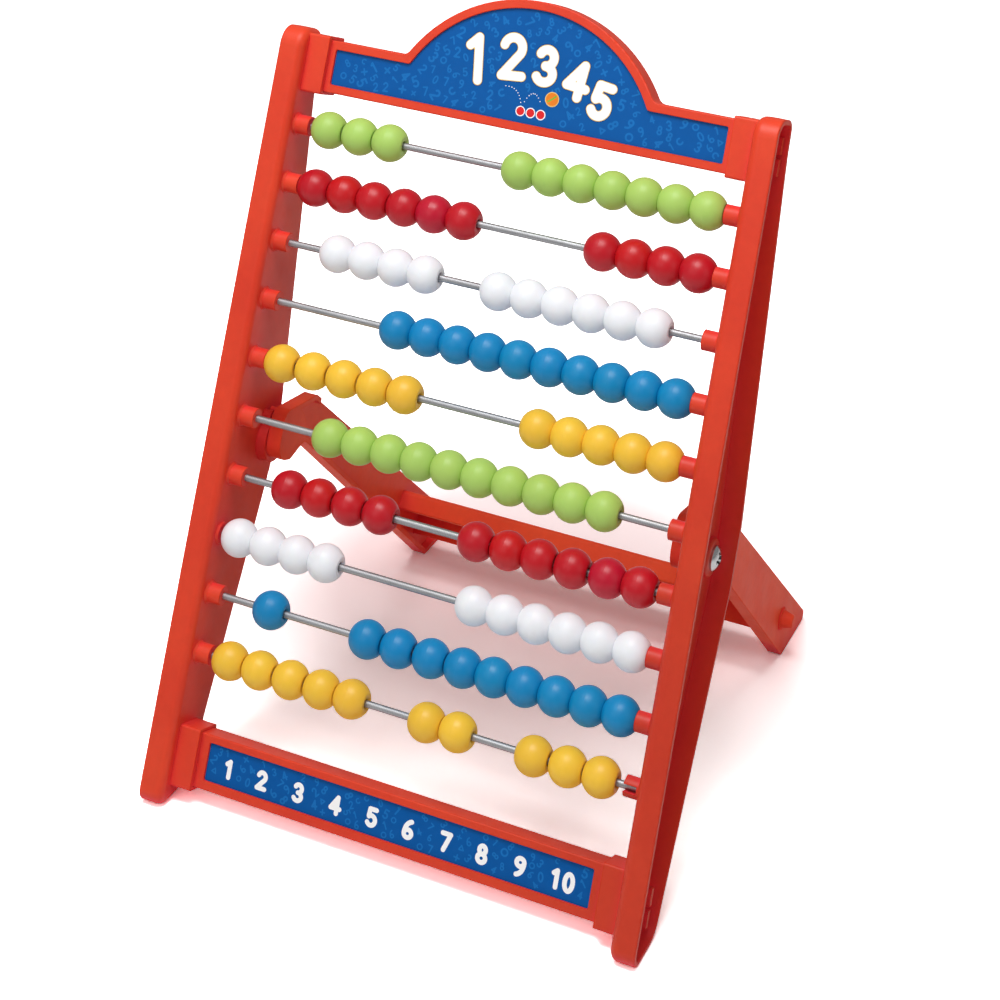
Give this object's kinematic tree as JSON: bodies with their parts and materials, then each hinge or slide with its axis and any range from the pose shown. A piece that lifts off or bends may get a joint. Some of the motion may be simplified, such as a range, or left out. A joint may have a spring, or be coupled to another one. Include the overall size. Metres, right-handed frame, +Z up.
{
  "type": "bead counting frame",
  "caption": "Upright abacus: coloured beads slide on steel rods between moulded side rails, with header and number panels and a folding rear stand.",
  "frame": {"origin": "on the table under the middle of the object's bounding box", "axes": "+X to the right seen from the front, +Z up, the printed front faces -Y and leans back"},
  "size_m": [0.224, 0.2615, 0.3354],
  "materials": {
    "frame_plastic": "satin",
    "bead_green": "satin",
    "bead_red": "satin",
    "bead_white": "satin",
    "bead_blue": "satin",
    "bead_yellow": "satin",
    "rod_steel": "drawn",
    "screw_steel": "polished",
    "label_print": "gloss laminated"
  },
  "bodies": {
    "frame": {"left_side_rail": "frame_plastic", "right_side_rail": "frame_plastic", "header_panel": "frame_plastic", "number_panel": "frame_plastic", "header_label": "label_print", "number_label": "label_print", "pivot_screws": "screw_steel", "rod_01": "rod_steel", "rod_02": "rod_steel", "rod_03": "rod_steel", "rod_04": "rod_steel", "rod_05": "rod_steel", "rod_06": "rod_steel", "rod_07": "rod_steel", "rod_08": "rod_steel", "rod_09": "rod_steel", "rod_10": "rod_steel"},
    "stand": {"rear_stand": "frame_plastic"},
    "row01_bead_group_left": {"row01_beads_left": "bead_green"},
    "row01_bead_group_right": {"row01_beads_right": "bead_green"},
    "row02_bead_group_left": {"row02_beads_left": "bead_red"},
    "row02_bead_group_right": {"row02_beads_right": "bead_red"},
    "row03_bead_group_left": {"row03_beads_left": "bead_white"},
    "row03_bead_group_right": {"row03_beads_right": "bead_white"},
    "row04_bead_group": {"row04_beads": "bead_blue"},
    "row05_bead_group_left": {"row05_beads_left": "bead_yellow"},
    "row05_bead_group_right": {"row05_beads_right": "bead_yellow"},
    "row06_bead_group": {"row06_beads": "bead_green"},
    "row07_bead_group_left": {"row07_beads_left": "bead_red"},
    "row07_bead_group_right": {"row07_beads_right": "bead_red"},
    "row08_bead_group_left": {"row08_beads_left": "bead_white"},
    "row08_bead_group_right": {"row08_beads_right": "bead_white"},
    "row09_bead_group_left": {"row09_beads_left": "bead_blue"},
    "row09_bead_group_right": {"row09_beads_right": "bead_blue"},
    "row10_bead_group_left": {"row10_beads_left": "bead_yellow"},
    "row10_bead_group_middle": {"row10_beads_middle": "bead_yellow"},
    "row10_bead_group_right": {"row10_beads_right": "bead_yellow"}
  },
  "joints": [
    {"name": "stand_fold", "type": "hinge", "parent": "frame", "child": "stand", "pos_m": [0, -0.04371, 0.13166], "axis": [-1, 0, 0], "range_deg": [0, 72]},
    {"name": "row01_beads_left_slide", "type": "slide", "parent": "frame", "child": "row01_bead_group_left", "axis": [1, 0, 0], "range_m": [-0.00175, 0.04636]},
    {"name": "row01_beads_right_slide", "type": "slide", "parent": "frame", "child": "row01_bead_group_right", "axis": [1, 0, 0], "range_m": [-0.04636, 0.00035]},
    {"name": "row02_beads_left_slide", "type": "slide", "parent": "frame", "child": "row02_bead_group_left", "axis": [1, 0, 0], "range_m": [-0.00035, 0.04846]},
    {"name": "row02_beads_right_slide", "type": "slide", "parent": "frame", "child": "row02_bead_group_right", "axis": [1, 0, 0], "range_m": [-0.04846, 0.00005]},
    {"name": "row03_beads_left_slide", "type": "slide", "parent": "frame", "child": "row03_bead_group_left", "axis": [1, 0, 0], "range_m": [-0.01625, 0.01956]},
    {"name": "row03_beads_right_slide", "type": "slide", "parent": "frame", "child": "row03_bead_group_right", "axis": [1, 0, 0], "range_m": [-0.01956, 0.01405]},
    {"name": "row04_beads_slide", "type": "slide", "parent": "frame", "child": "row04_bead_group", "axis": [1, 0, 0], "range_m": [-0.04985, 0.00005]},
    {"name": "row05_beads_left_slide", "type": "slide", "parent": "frame", "child": "row05_bead_group_left", "axis": [1, 0, 0], "range_m": [-0.00015, 0.04666]},
    {"name": "row05_beads_right_slide", "type": "slide", "parent": "frame", "child": "row05_bead_group_right", "axis": [1, 0, 0], "range_m": [-0.04666, 0.00005]},
    {"name": "row06_beads_slide", "type": "slide", "parent": "frame", "child": "row06_bead_group", "axis": [1, 0, 0], "range_m": [-0.02845, 0.02145]},
    {"name": "row07_beads_left_slide", "type": "slide", "parent": "frame", "child": "row07_bead_group_left", "axis": [1, 0, 0], "range_m": [-0.01435, 0.03006]},
    {"name": "row07_beads_right_slide", "type": "slide", "parent": "frame", "child": "row07_bead_group_right", "axis": [1, 0, 0], "range_m": [-0.03006, 0.00135]},
    {"name": "row08_beads_left_slide", "type": "slide", "parent": "frame", "child": "row08_bead_group_left", "axis": [1, 0, 0], "range_m": [-0.00135, 0.05436]},
    {"name": "row08_beads_right_slide", "type": "slide", "parent": "frame", "child": "row08_bead_group_right", "axis": [1, 0, 0], "range_m": [-0.05436, 0.00005]},
    {"name": "row09_beads_left_slide", "type": "slide", "parent": "frame", "child": "row09_bead_group_left", "axis": [1, 0, 0], "range_m": [-0.01605, 0.03166]},
    {"name": "row09_beads_right_slide", "type": "slide", "parent": "frame", "child": "row09_bead_group_right", "axis": [1, 0, 0], "range_m": [-0.03166, 0.00005]},
    {"name": "row10_beads_left_slide", "type": "slide", "parent": "frame", "child": "row10_bead_group_left", "axis": [1, 0, 0], "range_m": [-0.00175, 0.02046]},
    {"name": "row10_beads_middle_slide", "type": "slide", "parent": "frame", "child": "row10_bead_group_middle", "axis": [1, 0, 0], "range_m": [-0.02046, 0.01966]},
    {"name": "row10_beads_right_slide", "type": "slide", "parent": "frame", "child": "row10_bead_group_right", "axis": [1, 0, 0], "range_m": [-0.01966, 0.00355]}
  ]
}
